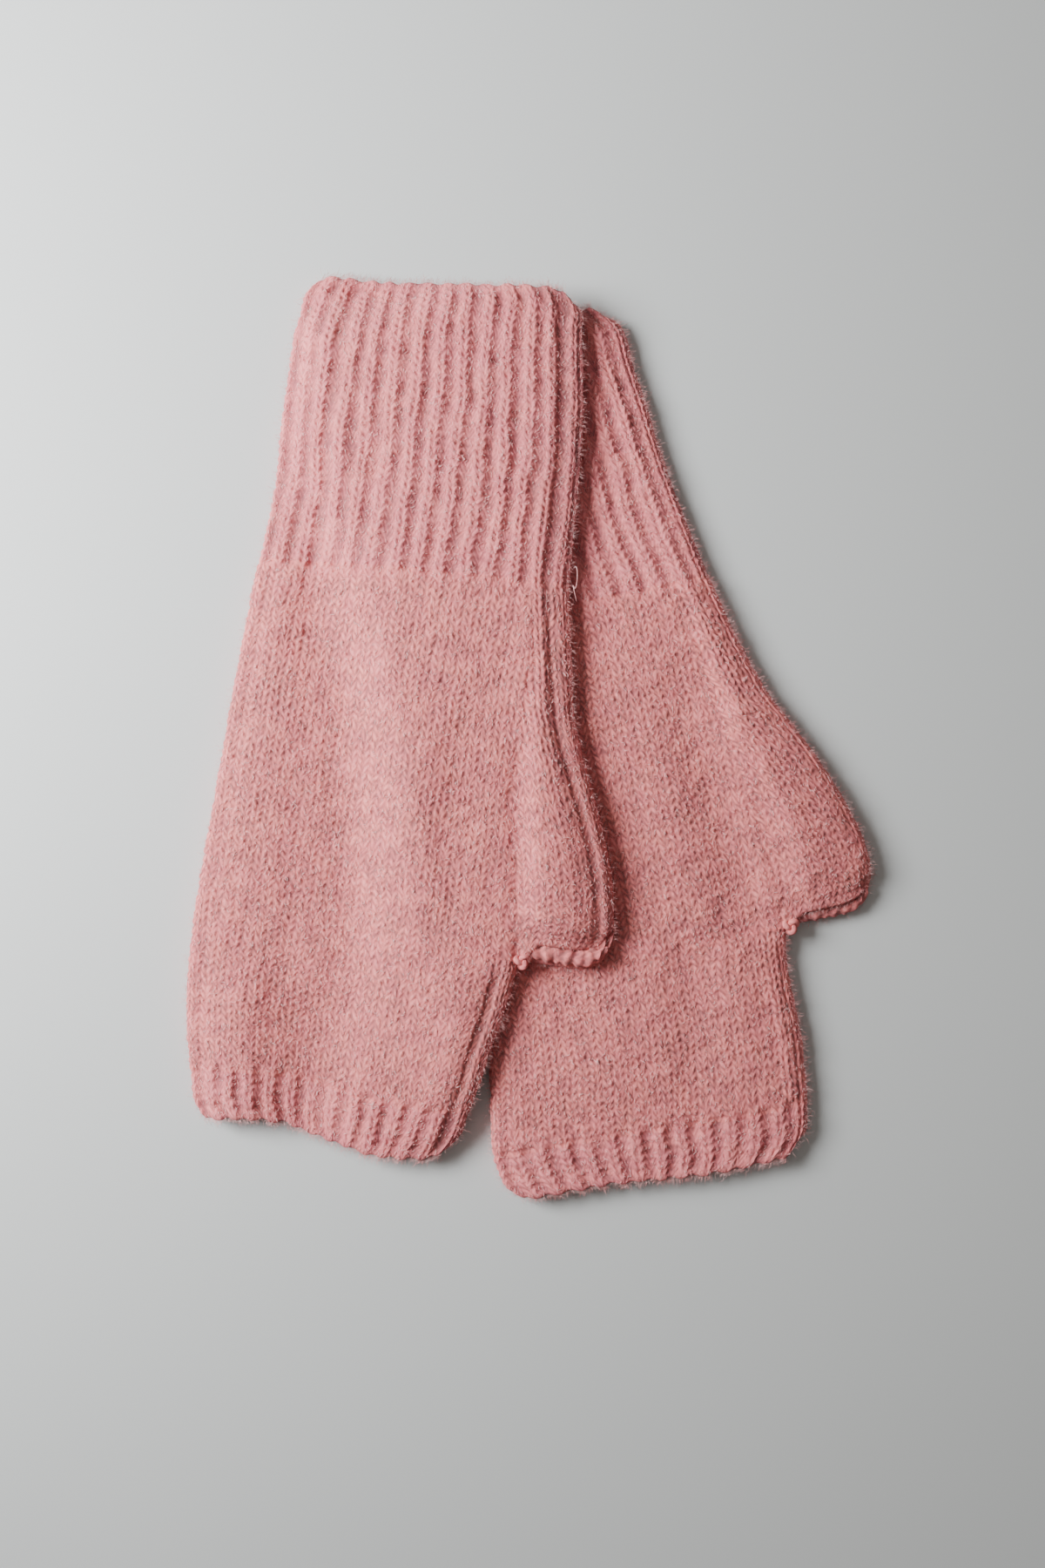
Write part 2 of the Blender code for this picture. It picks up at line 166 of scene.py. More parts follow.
def walk(outline, crease, share, before_crease):
    """Points, outward normals and distances at shares of an outline that the crease
    parts in two."""
    lengths = np.concatenate(([0.0], np.cumsum(np.hypot(*np.diff(outline, axis=0).T))))
    flat = outline[12:-12, 0]
    if flat[0] < flat[-1]:
        split = np.interp(crease, flat, lengths[12:-12])
    else:
        split = np.interp(-crease, -flat, lengths[12:-12])
    distance = np.where(before_crease, share * split, split + share * (lengths[-1] - split))
    point = points_at(distance, lengths, outline)
    run = points_at(distance, lengths, np.gradient(outline, lengths, axis=0))
    run /= np.hypot(run[:, 0], run[:, 1])[:, None]
    return point, np.stack((-run[:, 1], run[:, 0]), 1), distance, lengths[-1]


def length_over_top(section):
    row = dict(zip(FIELDS.split(), section))
    top = outlines(row)[0]
    return float(np.hypot(*np.diff(top, axis=0).T).sum())


def knit_stitch(size=64):
    """Height, 0 to 1, over one plain stitch: two legs of yarn in a V that points to the
    hem, each highest in its middle where it passes over the course before."""
    course = 0.66
    grid = (np.arange(size) + 0.5) / size
    u, v = np.meshgrid(grid, grid * course, indexing="ij")
    height = np.full((size, size), -0.1)
    for side in (-1.0, 1.0):
        for step in np.linspace(0.0, 1.0, 48):
            x = 0.5 + side * (0.05 + 0.38 * step)
            y = course * (0.60 - 1.15 * step)
            middle = math.sin(math.pi * step)
            radius = 0.200 * (0.78 + 0.22 * middle)
            for wale in (-1, 0, 1):
                for row in (-2, -1, 0, 1, 2):
                    away = (u - x - wale) ** 2 + (v - y - row * course) ** 2
                    near = away < radius ** 2
                    rise = 0.09 * middle + np.sqrt(radius ** 2 - away[near])
                    height[near] = np.maximum(height[near], rise)
    height = np.clip(height, np.percentile(height, 10), None)
    for axis in (0, 1, 0, 1):
        height = 0.5 * height + 0.25 * (np.roll(height, 1, axis) + np.roll(height, -1, axis))
    return (height - height.min()) / (height.max() - height.min())


STITCH = knit_stitch()


def between_points(table, x, y, ease=lambda share: share):
    """Values of a square table that repeats, at places between its points."""
    size = len(table)
    column = np.floor(x).astype(int)
    line = np.floor(y).astype(int)
    dx = ease(x - column)
    dy = ease(y - line)

    def on_line(line):
        return (table[column % size, line % size] * (1.0 - dx)
                + table[(column + 1) % size, line % size] * dx)

    return on_line(line) * (1.0 - dy) + on_line(line + 1) * dy


def stitch_height(wale, course):
    size = len(STITCH)
    return between_points(STITCH, (wale % 1.0) * size - 0.5, (course % 1.0) * size - 0.5)


def uneven(seed, x, y):
    """A smooth random field between -1 and 1, with one bump to each unit."""
    table = np.random.default_rng(seed).uniform(-1.0, 1.0, (64, 64))
    return between_points(table, x, y, smooth_step)


def patchy(seed, layers, wale, course):
    """A sum of uneven fields. Each layer adds its own number to the seed, and has an
    amount and the size of its patches in wales and in courses."""
    return sum(amount * uneven(seed + own, wale / wales, course / courses)
               for own, amount, wales, courses in layers)


def rib_height(wale, course):
    """Height, 0 to 1, of 1x1 rib: a column of V stitches, then a gully of purl bumps."""
    turn = (wale + 0.5) % 2.0 - 1.0
    crest = (0.5 + 0.5 * np.cos(math.pi * turn)) ** 0.42
    legs = stitch_height(np.clip(0.5 + 0.85 * turn, 0.02, 0.98), course)
    purl = 0.5 + 0.5 * np.cos(math.tau * (course + 0.25))
    return crest * (0.42 + 0.58 * legs) + 0.15 * (1.0 - crest) * purl


PLAIN_DEPTH = 0.42
TROUGH_MOVES = 0.45     # share of a trough that moves the cloth; the rest presses it in
FULL_RISE = 5.2         # the cloth at this height moves by all of a trough or a fall
ROUNDED = 2.2           # a free edge is rounded over this length
# Tone of the inside wall, darker than the outside as painted shade inside the tube
INSIDE_RELIEF_SHADE = 0.35
EASED = 0.3             # how near the deepest a cut comes before it is eased off

# How unevenly the hand knitted, as layers for patchy
DRIFT = ((0, 0.15, 2.3, 3.1), (5, 0.09, 0.8, 1.1))
SWAY = ((8, 0.20, 3.3, 7.0),)
LAG = ((1, 0.26, 2.9, 2.7), (6, 0.16, 0.6, 1.3))
LUMPS = ((3, 0.12, 1.3, 1.1), (4, 0.07, 4.7, 5.1), (7, 0.07, 0.33, 0.5))


def crease_depth(creases, across, along):
    """How far soft creases sink the top: each runs from one (across, along) to another,
    with a half width and a depth, which is less than nothing for a ridge."""
    depth = np.zeros_like(across)
    for x0, y0, x1, y1, half_width, deep in creases:
        run_x, run_y = x1 - x0, y1 - y0
        share = ((across - x0) * run_x + (along - y0) * run_y) / (run_x ** 2 + run_y ** 2)
        share = np.clip(share, 0.0, 1.0)
        off = np.hypot(across - x0 - share * run_x, along - y0 - share * run_y)
        depth = depth + deep * (1.0 - smooth_step(off / half_width))
    return depth


def corner_pull(off, reach=6.0, deep=1.9):
    """How far a corner of the tube is drawn in, at a distance from its folded edge."""
    near = np.clip(1.0 - off / reach, 0.0, 1.0)
    return deep * (1.0 - np.sqrt(1.0 - 0.98 * near ** 2))


def stitches_at(seed, wale, course, ribbed):
    """Depth below the tallest stitch, and how far the stitches stray: the columns of
    the plain stitch, those of the rib, and the courses."""
    drift = patchy(seed, DRIFT, wale, course)
    sway = 0.8 * drift + patchy(seed, SWAY, wale, course)
    lag = patchy(seed, LAG, wale, course)
    depth = ribbed * RIB_DEPTH * (1.0 - rib_height(wale + sway, course + lag))
    depth += (1.0 - ribbed) * PLAIN_DEPTH * (1.0 - stitch_height(wale + drift, course + lag))
    depth *= 1.0 + 0.30 * uneven(seed + 2, wale / 1.2, course / 1.6)
    depth += 0.10 * (1.0 + uneven(seed + 10, wale / 0.52, course / 0.7))
    return depth, drift, sway, lag


def kept_in_wall(cut):
    """Eases off a cut that would come close to the inside of the wall."""
    near = DEEPEST - EASED
    return np.where(cut < near, cut, DEEPEST - EASED * np.exp(-(cut - near) / EASED))


def columns_round(palm_wales, thumb_wales, hidden_wales):
    """Where the columns of points stand, as shares of the palm and of the thumb side
    over the top, and of both underneath. Hidden wales have as few as the underside."""
    few = np.arange(hidden_wales * COLUMNS_UNDERNEATH) / COLUMNS_UNDERNEATH
    many = np.arange((palm_wales - hidden_wales) * COLUMNS_PER_WALE) / COLUMNS_PER_WALE
    palm = np.concatenate((few, hidden_wales + many)) / palm_wales

    def shares(wales, columns):
        return np.arange(wales * columns) / (wales * columns)

    return (palm, shares(thumb_wales, COLUMNS_PER_WALE),
            shares(thumb_wales, COLUMNS_UNDERNEATH), shares(palm_wales, COLUMNS_UNDERNEATH))


def knit(sections, courses, rib_share, place, lift, seed,
         last_width=None, hidden_wales=0, free_start=False, free_end=False, creases=(),
         seam=(2.6, 2.6, 1.1, 0.30), fall=(7.0, 0.7, 0.4), opens=0.0, droop=0.0):
    """The outside and the inside of one stretch, as grids of points in mm. Courses are
    the first one and their count. A seam is given by its distances from the edge at
    the start and the end, half width and depth, a fall to the sewn edge by its run,
    how far the outside sinks into the wall and how far the wall sinks, which also sets
    how much darker the fall is painted, as painted shade. Both come in over the length
    that opens gives. A droop is how far the mouth's front sinks."""
    first_course, course_count = courses
    seam_at_start, seam_at_end, seam_half_width, seam_depth = seam
    rows = course_count * ROWS_PER_COURSE + 1
    start, end = sections[0][0], sections[-1][0]
    stations = np.linspace(start, end, rows)
    widens = last_width is not None
    palm_wales, thumb_wales = WIDENED_WALES if widens else STRAIGHT_WALES
    palm, thumb, thumb_under, palm_under = columns_round(palm_wales, thumb_wales, hidden_wales)
    top_share = np.concatenate((palm, thumb))
    top_palm = np.arange(len(top_share)) < len(palm)
    under_share = np.concatenate((thumb_under, palm_under))
    under_thumb = np.arange(len(under_share)) < len(thumb_under)
    columns = len(top_share) + len(under_share)
    on_top = np.arange(columns) < len(top_share)
    first_width = length_over_top(sections[0]) / WALES_ON_TOP
    knitted = {key: np.zeros((rows, columns, 3)) for key in ("outer", "inner", "normal")}
    knitted.update({key: np.zeros((rows, columns)) for key in ("wale", "course", "relief_shade")})
    around = np.zeros(rows)
    lean = math.radians(place[2])
    for index, row in enumerate(through_sections(sections, stations)):
        top, under = outlines(row)
        spot, way, gone, length = walk(top, row["crease"], top_share, top_palm)
        spot2, way2, gone2, length2 = walk(under, row["crease"], under_share, under_thumb)
        done = index / (rows - 1.0)
        width = length / WALES_ON_TOP
        if widens:
            width = first_width + (last_width - first_width) * done
        wale = np.where(top_palm, gone / width, WALES_ON_TOP - (length - gone) / width)
        wale2 = np.where(under_thumb, WALES_ON_TOP + gone2 / width,
                         2 * WALES_ON_TOP - (length2 - gone2) / width)
        wale = np.concatenate((wale, wale2))
        points = np.concatenate((spot, spot2))
        ways = np.concatenate((way, way2))
        across, rise = points.T
        course = np.full(columns, first_course + course_count * done)
        around[index] = length + length2

        ribbed = rib_share(course)
        tall, drift, sway, lag = stitches_at(seed, wale, course, ribbed)
        lumps = sum(layer[1] for layer in LUMPS) + patchy(seed, LUMPS, wale, course)

        # How near each point is to a free edge
        to_edge = np.full(columns, np.inf)
        if free_start:
            to_edge = np.minimum(to_edge, row["along"] - start)
        if free_end:
            to_edge = np.minimum(to_edge, end - row["along"])
        if widens:
            mouth = np.where(across > row["crease"] + 1.0, end - row["along"], np.inf)
            to_edge = np.minimum(to_edge, mouth)
        to_round = np.clip(1.0 - to_edge / ROUNDED, 0.0, 1.0)
        rounding = 1.0 - np.sqrt(1.0 - to_round ** 2)

        # The fall to the sewn edge, and the seam's groove
        opened = smooth_step(np.array((row["along"] - start + 0.001) / (opens + 0.001)))
        falling = opened * smooth_step((across - row["right"]) / fall[0] + 1.0)
        tall *= 1.0 - 0.35 * falling * (1.0 - 0.4 * ribbed)
        tall *= 1.0 - 0.60 * falling * (1.0 - ways[:, 1] ** 2)
        from_edge = seam_at_start + (seam_at_end - seam_at_start) * done
        off_seam = np.abs(across + 0.5 * drift - (row["right"] - from_edge))
        pits = 0.80 + 0.20 * np.cos(math.tau * (course + lag))
        groove = seam_depth * pits * (1.0 - smooth_step(off_seam / seam_half_width)) * on_top
        groove *= opened
        if widens:
            groove *= smooth_step((mouth - 0.5) / 4.0)

        # Soft creases, and all that is cut out of the wall
        pressed = crease_depth(creases, across, np.full(columns, row["along"]))
        shifted = np.where(pressed > 0.0, TROUGH_MOVES, 1.0) * pressed
        sunk = pressed - shifted + fall[1] * falling
        sunk *= np.clip((ways[:, 1] + 0.9) / 1.5, 0.0, 1.0)
        cut = kept_in_wall(tall + lumps + groove + sunk)
        # Painted shade: the tone is darker in the stitches' hollows and the seam's groove, and
        # darker still down the fall to the sewn edge.
        depth = (0.80 * tall + 0.10 * groove) / (PLAIN_DEPTH + 0.76 * ribbed)
        knitted["relief_shade"][index] = 1.0 - np.clip(depth + 0.42 * fall[2] * falling, 0, 1)

        # How the edges run, along the mitten
        share = (across - row["left"]) / (row["right"] - row["left"])
        moved = row["slant"] * share - row["wave"] * np.sin(math.tau * share)
        over = smooth_step((rise - WALL) / WALL)
        moved -= row["back"] * over * smooth_step((across - row["crease"]) / 5.0)
        near_start = 1.0 - smooth_step((row["along"] - start) / 6.0)
        near_end = 1.0 - smooth_step((end - row["along"]) / 6.0)
        corner = corner_pull(across - row["left"]) + corner_pull(row["right"] - across)
        scallop = 0.30 + 0.30 * np.cos(math.pi * (wale + sway + 0.5))
        scallop = (scallop + 0.30 * uneven(seed + 9, wale / 1.4, course / 9.0)) * ribbed
        if free_start:
            moved += near_start * (corner + scallop)
        if free_end:
            moved -= near_end * (corner + scallop)
        sinks = (shifted + fall[2] * falling) * np.clip(rise / FULL_RISE, 0.0, 1.0)
        if widens:
            near_end = 1.0 - smooth_step((end - row["along"]) / 11.0)
            moved -= near_end * corner_pull(row["right"] - across, 9.0, 4.6)
            sinks += droop * near_end * over * smooth_step((across - row["crease"]) / 6.0)
        for key, inset in (("outer", cut * (1.0 - to_round * 0.75) + rounding),
                           ("inner", WALL - 0.7 * rounding)):
            x, y = to_table(place, across - ways[:, 0] * inset, row["along"] + moved)
            z = rise - ways[:, 1] * inset + lift(x, y) - sinks
            knitted[key][index] = np.stack((x, y, z), 1)
        knitted["normal"][index] = np.stack(
            (ways[:, 0] * math.cos(lean), -ways[:, 0] * math.sin(lean), ways[:, 1]), 1)
        knitted["wale"][index] = wale + ribbed * sway + (1.0 - ribbed) * drift
        knitted["course"][index] = course + lag
    knitted["on_top"] = on_top
    knitted["mouth"] = np.arange(len(palm), len(top_share) + len(thumb_under))
    knitted["mouth_back"] = np.arange(len(top_share) + 1, len(top_share) + len(thumb_under))
    knitted["flat"] = (float(around.max()) * MM, (end - start) * MM)
    knitted["area"] = float(around.mean()) * (end - start) * MM * MM
    return knitted


def wall_mesh(name, knitted):
    """A closed wall: down the outside, round the end, and back up the inside, which is
    plain and has few rows, close together only at its ends."""
    rows, columns = knitted["wale"].shape
    between = np.linspace(rows - 12, 11, max(3, rows // 18)).round().astype(int)
    back = [rows - 1, rows - 3, rows - 6, *between, 5, 2, 0]
    grid = np.concatenate((knitted["outer"], knitted["inner"][back])) * MM
    # The inside wall takes one darker tone, as painted shade inside the tube.
    relief_shade = np.concatenate((knitted["relief_shade"], np.full((len(back), columns), INSIDE_RELIEF_SHADE)))
    wale = np.concatenate((knitted["wale"], knitted["wale"][back]))
    course = np.concatenate((knitted["course"], knitted["course"][back]))
    number = np.arange(wale.size).reshape(wale.shape)
    corners = np.stack((number, np.roll(number, -1, 1), np.roll(number, (-1, -1), (0, 1)),
                        np.roll(number, -1, 0)), -1)
    mesh = bpy.data.meshes.new(name)
    mesh.from_pydata(grid.reshape(-1, 3), [], corners.reshape(-1, 4))
    ahead = np.roll(wale, -1, 1)
    jump = np.abs(ahead - wale) > 1.2
    ahead = np.where(jump, 2.0 * wale - np.roll(wale, 1, 1), ahead)
    below = np.roll(wale, -1, 0)
    below_ahead = np.where(jump, below + ahead - wale, np.roll(below, -1, 1))
    up = np.roll(course, -1, 0)
    stitches = np.stack((wale, course, ahead, course, below_ahead, up, below, up), -1)
    mesh.uv_layers.new(name="stitches").data.foreach_set("uv", stitches.astype(np.float32).ravel())
    tall = mesh.attributes.new("relief_shade", "FLOAT", "POINT")
    tall.data.foreach_set("value", relief_shade.astype(np.float32).ravel())
    mesh.shade_smooth()
    edges = np.zeros(2 * len(mesh.edges), dtype=np.int32)
    mesh.edges.foreach_get("vertices", edges)
    edge_lines = edges.reshape(-1, 2) // columns
    at_rim = (edge_lines == 0) | (edge_lines == rows - 1)
    sharp = mesh.attributes.new("sharp_edge", "BOOLEAN", "EDGE")
    sharp.data.foreach_set("value", at_rim.all(axis=1))
    return mesh


def add_node(tree, kind, inputs=(), **settings):
    """A shader node with its settings, and with inputs set to values or linked."""
    node = tree.nodes.new(kind)
    for name, value in settings.items():
        setattr(node, name, value)
    for name, value in dict(inputs).items():
        if isinstance(value, bpy.types.NodeSocket):
            tree.links.new(value, node.inputs[name])
        else:
            node.inputs[name].default_value = value
    return node


def two_tones(tree, factor, low, low_color, high, high_color):
    """The colour of a ramp between two tones, each with its place on the ramp."""
    node = add_node(tree, "ShaderNodeValToRGB", {"Fac": factor})
    first, last = node.color_ramp.elements
    first.position = low
    first.color = (*low_color, 1.0)
    last.position = high
    last.color = (*high_color, 1.0)
    return node.outputs["Color"]


def spun_wool_group():
    """Fibre streaks that lie along the two legs of each V, flecks of lint, and a painted
    highlight along the middle of each leg. The per-point tone mixes deep, middle and
    light tones as painted shade and highlight.
    """
    group = bpy.data.node_groups.new("spun_wool", "ShaderNodeTree")
    for name in ("Deep", "Middle", "Light"):
        group.interface.new_socket(name=name, in_out="INPUT", socket_type="NodeSocketColor")
    group.interface.new_socket(name="Fibres", in_out="INPUT", socket_type="NodeSocketFloat")
    group.interface.new_socket(name="Color", in_out="OUTPUT", socket_type="NodeSocketColor")
    group.interface.new_socket(name="Height", in_out="OUTPUT", socket_type="NodeSocketFloat")
    given = group.nodes.new("NodeGroupInput").outputs

    def worked(kind, *values):
        return add_node(group, "ShaderNodeMath", enumerate(values), operation=kind).outputs[0]

    def noise(scale, detail, rough, vector, **more):
        node = add_node(group, "ShaderNodeTexNoise", {
            "Scale": scale, "Detail": detail, "Roughness": rough, "Vector": vector, **more})
        return node.outputs["Fac"]

    def mixed_color(factor, first, second, kind="MIX"):
        node = add_node(group, "ShaderNodeMix", {"Factor": factor, "A": first, "B": second},
                        data_type="RGBA", blend_type=kind)
        return node.outputs["Result"]

    stitches = add_node(group, "ShaderNodeUVMap", uv_map="stitches").outputs["UV"]
    apart = add_node(group, "ShaderNodeSeparateXYZ", {0: stitches}).outputs
    wale = worked("ABSOLUTE", worked("SUBTRACT", worked("FRACT", apart["X"]), 0.5))
    off = worked("MULTIPLY", wale, 2.9)
    down = worked("MULTIPLY", apart["Y"], 1.9)
    across_leg = worked("ADD", worked("MULTIPLY", off, 0.89), worked("MULTIPLY", down, 0.45))
    along_leg = worked("SUBTRACT", worked("MULTIPLY", down, 0.89), worked("MULTIPLY", off, 0.45))
    leg = add_node(group, "ShaderNodeCombineXYZ", {
        "X": worked("MULTIPLY", across_leg, 4.2),
        "Y": worked("MULTIPLY", along_leg, 0.75),
        "Z": worked("MULTIPLY", apart["X"], 0.9)})
    streaks = noise(1.0, 3.0, 0.65, leg.outputs[0], Distortion=0.6)
    place = group.nodes.new("ShaderNodeTexCoord").outputs["Object"]
    flecks = noise(1900.0, 2.0, 0.7, place)
    patches = noise(230.0, 4.0, 0.5, place)
    relief_shade = add_node(group, "ShaderNodeAttribute", attribute_name="relief_shade").outputs["Fac"]
    mixed = worked("ADD", worked("MULTIPLY", streaks, 0.6), worked("MULTIPLY", flecks, 0.4))
    ply = worked("SUBTRACT", worked("MULTIPLY_ADD", wale, 3.0, apart["Y"]), 0.25)
    beside = worked("ABSOLUTE", worked("SUBTRACT", worked("FRACT", ply), 0.5))
    leg_cell = add_node(group, "ShaderNodeCombineXYZ", {
        "X": worked("FLOOR", worked("MULTIPLY", apart["X"], 2.0)), "Y": worked("FLOOR", ply)})
    each_leg = add_node(group, "ShaderNodeTexWhiteNoise", {"Vector": leg_cell.outputs[0]},
                        noise_dimensions="2D").outputs["Value"]
    # Painted highlight: each leg is lighter along its middle and darker at its sides.
    mixed = worked("ADD", mixed, worked("MULTIPLY", worked("SUBTRACT", 0.25, beside), 0.45))
    mixed = worked("ADD", mixed, worked("MULTIPLY", worked("SUBTRACT", each_leg, 0.5), 0.20))
    spread = worked("MULTIPLY", worked("SUBTRACT", mixed, 0.5), given["Fibres"])
    # Painted shade and highlight: the per-point tone, with the fibres' spread, mixes deep to
    # middle to light.
    tone = worked("MULTIPLY", worked("ADD", relief_shade, spread), 2.0)
    shade = mixed_color(tone, given["Deep"], given["Middle"])
    lit = mixed_color(worked("SUBTRACT", tone, 1.0), shade, given["Light"])
    tint = two_tones(group, patches, 0.36, (0.93, 0.90, 0.95), 0.66, (1.05, 1.07, 1.03))
    tinted = mixed_color(1.0, lit, tint, "MULTIPLY")
    add_node(group, "NodeGroupOutput", {"Color": tinted, "Height": mixed})
    return group


SPUN_WOOL = spun_wool_group()


def new_material(name, roughness):
    material = bpy.data.materials.new(name)
    material.use_nodes = True
    shader = material.node_tree.nodes["Principled BSDF"]
    shader.inputs["Roughness"].default_value = roughness
    return material, material.node_tree, shader


# Each wool is one colour in three tones: deep, painted shade for the hollows; middle; and light, a
# painted highlight for the crests. The per-point tone mixes them.
def wool(name, deep, middle, light):
    material, tree, shader = new_material(name, 0.92)
    shader.inputs["Specular IOR Level"].default_value = 0.12
    shader.inputs["Sheen Weight"].default_value = 0.09
    shader.inputs["Sheen Roughness"].default_value = 0.5
    shader.inputs["Sheen Tint"].default_value = (0.95, 0.70, 0.72, 1.0)
    spun = add_node(tree, "ShaderNodeGroup", {
        "Fibres": 1.6, "Deep": (*deep, 1.0), "Middle": (*middle, 1.0), "Light": (*light, 1.0),
    }, node_tree=SPUN_WOOL)
    bump = add_node(tree, "ShaderNodeBump", {
        "Strength": 0.7, "Distance": 0.0004, "Height": spun.outputs["Height"]})
    tree.links.new(spun.outputs["Color"], shader.inputs["Base Color"])
    tree.links.new(bump.outputs["Normal"], shader.inputs["Normal"])
    return material


RIB_WOOL = wool("rib_wool", (0.40, 0.132, 0.134), (0.69, 0.186, 0.188), (0.94, 0.288, 0.286))


def add_piece(mesh, material, solid=None):
    """A piece of the scene, which takes the place of a solid where one is given."""
    piece = bpy.data.objects.new(mesh.name, mesh)
    bpy.context.scene.collection.objects.link(piece)
    piece.data.materials.append(material)
    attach(piece, "root")
    if solid:
        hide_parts(solid)
    return piece


surfaces = {}


def knit_piece(solid, material, slot, *stretch, **details):
    """The knit of one stretch of a mitten, as knit makes it, in the place of its solid."""
    surfaces[solid] = knit(*stretch, **details)
    mesh = wall_mesh(solid + "_knit", surfaces[solid])
    return surfaces[solid], add_piece(mesh, material, solid)


def all_rib(course):
    return np.ones_like(course)


UNDER = {"place": UNDER_PLACE, "lift": lie_on_table, "seed": 40}

cloth, under_cuff = knit_piece(
    "under_cuff", RIB_WOOL, "rib_wool", UNDER_CUFF, (0, 37), all_rib, **UNDER,
    hidden_wales=14, free_start=True)

# Under mitten: hand
# Plain stocking stitch knitted on from the cuff. It widens for the half thumb with
# increases along the crease, so the thumb's stitches run along its own edge, and the
# mouth of the thumb is cast off.

UNDER_HAND = UNDER_CUFF[-1:] + flat_sections(
    (77.5, -33.0, 34.7, 45.4, 5.4, 6.2),
    (85.5, -32.9, 35.6, 47.2, 5.3, 6.4),
    (93.5, -32.8, 36.4, 49.5, 5.2, 6.6),
    (101.5, -32.8, 37.4, 52.2, 5.1, 6.9),
    (109.5, -32.8, 38.6, 56.0, 5.0, 7.2),
    (116.5, -32.8, 39.8, 59.4, 4.9, 7.5),
    (123.5, -32.8, 40.8, 62.3, 4.8, 7.7),
    (130.5, -32.8, 41.6, 64.8, 4.8, 7.8),
    (137.5, -32.9, 42.3, 66.8, 4.8, 7.7),
    (144.5, -33.0, 42.8, 67.8, 4.8, 7.5, 0.0, 0.0, 0.4),
    (151.5, -33.1, 43.2, 67.6, 4.8, 7.1, 0.0, 0.0, 1.4),
    (158.15, -33.3, 44.0, 65.8, 4.8, 6.8, 0.0, 0.0, 2.6),
)
UNDER_FINGERS = flat_sections(
    (158.15, -33.3, 36.0, 44.2, 5.5, 5.4),
    (168.5, -34.2, 36.0, 43.0, 5.4, 5.5, 0.0, 0.2),
    (183.5, -36.0, 35.0, 42.8, 5.3, 5.6, 0.2, 0.9),
    (191.5, -37.5, 34.6, 42.0, 5.3, 5.6, 0.4, 1.6),
    (199.2, -38.6, 34.0, 41.0, 5.4, 5.6, 0.6, 2.2),
)

PLAIN_WOOL = wool("plain_wool", (0.45, 0.148, 0.143), (0.77, 0.203, 0.194), (1.0, 0.310, 0.294))


# Soft troughs and ridges, as crease_depth reads them
UNDER_CREASES = (
    (31.0, 98.0, 34.0, 154.0, 10.0, 0.80),
    (40.6, 106.0, 42.0, 150.0, 5.5, -0.55),
    (22.0, 120.0, 25.0, 140.0, 12.0, -0.25),
    (18.5, 162.0, 12.0, 200.0, 9.0, 0.75),
    (30.0, 164.0, 27.5, 196.0, 8.0, -0.35),
    (-6.0, 170.0, -8.0, 196.0, 12.0, -0.25),
)


def rib_fades_out(course):
    return 1.0 - smooth_step((course - 37.0) / 1.6)


def unit(vectors):
    return vectors / (np.linalg.norm(vectors, axis=1)[:, None] + 1e-9)


def tube_faces(lines, around, closed=False):
    """Faces between rings of points. A closed tube runs on from the last to the first,
    and an open one has a cap at each end."""
    number = np.arange(lines * around).reshape(lines, around)
    corners = np.stack((number, np.roll(number, -1, 0), np.roll(number, (-1, -1), (0, 1)),
                        np.roll(number, -1, 1)), -1)
    if closed:
        return corners.reshape(-1, 4).tolist()
    ends = [number[0].tolist(), number[-1, ::-1].tolist()]
    return corners[:-1].reshape(-1, 4).tolist() + ends


def turn_outward(mesh):
    shape = bmesh.new()
    shape.from_mesh(mesh)
    bmesh.ops.recalc_face_normals(shape, faces=shape.faces)
    shape.to_mesh(mesh)
    shape.free()


def plain_wool_tube(name, grid, closed, relief_shade, place_of):
    """A tube of rings of points, in m, with its painted-shade tone and its places on the stitches.
    """
    mesh = bpy.data.meshes.new(name)
    mesh.from_pydata(grid.reshape(-1, 3), [], tube_faces(*grid.shape[:2], closed))
    tall = mesh.attributes.new("relief_shade", "FLOAT", "POINT")
    tall.data.foreach_set("value", relief_shade.astype(np.float32).ravel())
    points = np.zeros(len(mesh.loops), dtype=np.int32)
    mesh.loops.foreach_get("vertex_index", points)
    spots = np.stack(place_of(*np.divmod(points, grid.shape[1])), 1)
    stitches = mesh.uv_layers.new(name="stitches")
    stitches.data.foreach_set("uv", spots.astype(np.float32).ravel())
    mesh.shade_smooth()
    turn_outward(mesh)
    return add_piece(mesh, PLAIN_WOOL)


CHAIN_STITCH = 2.5      # length of a stitch of the chain
CHAIN_STEP = 0.36       # between the rings of points along it


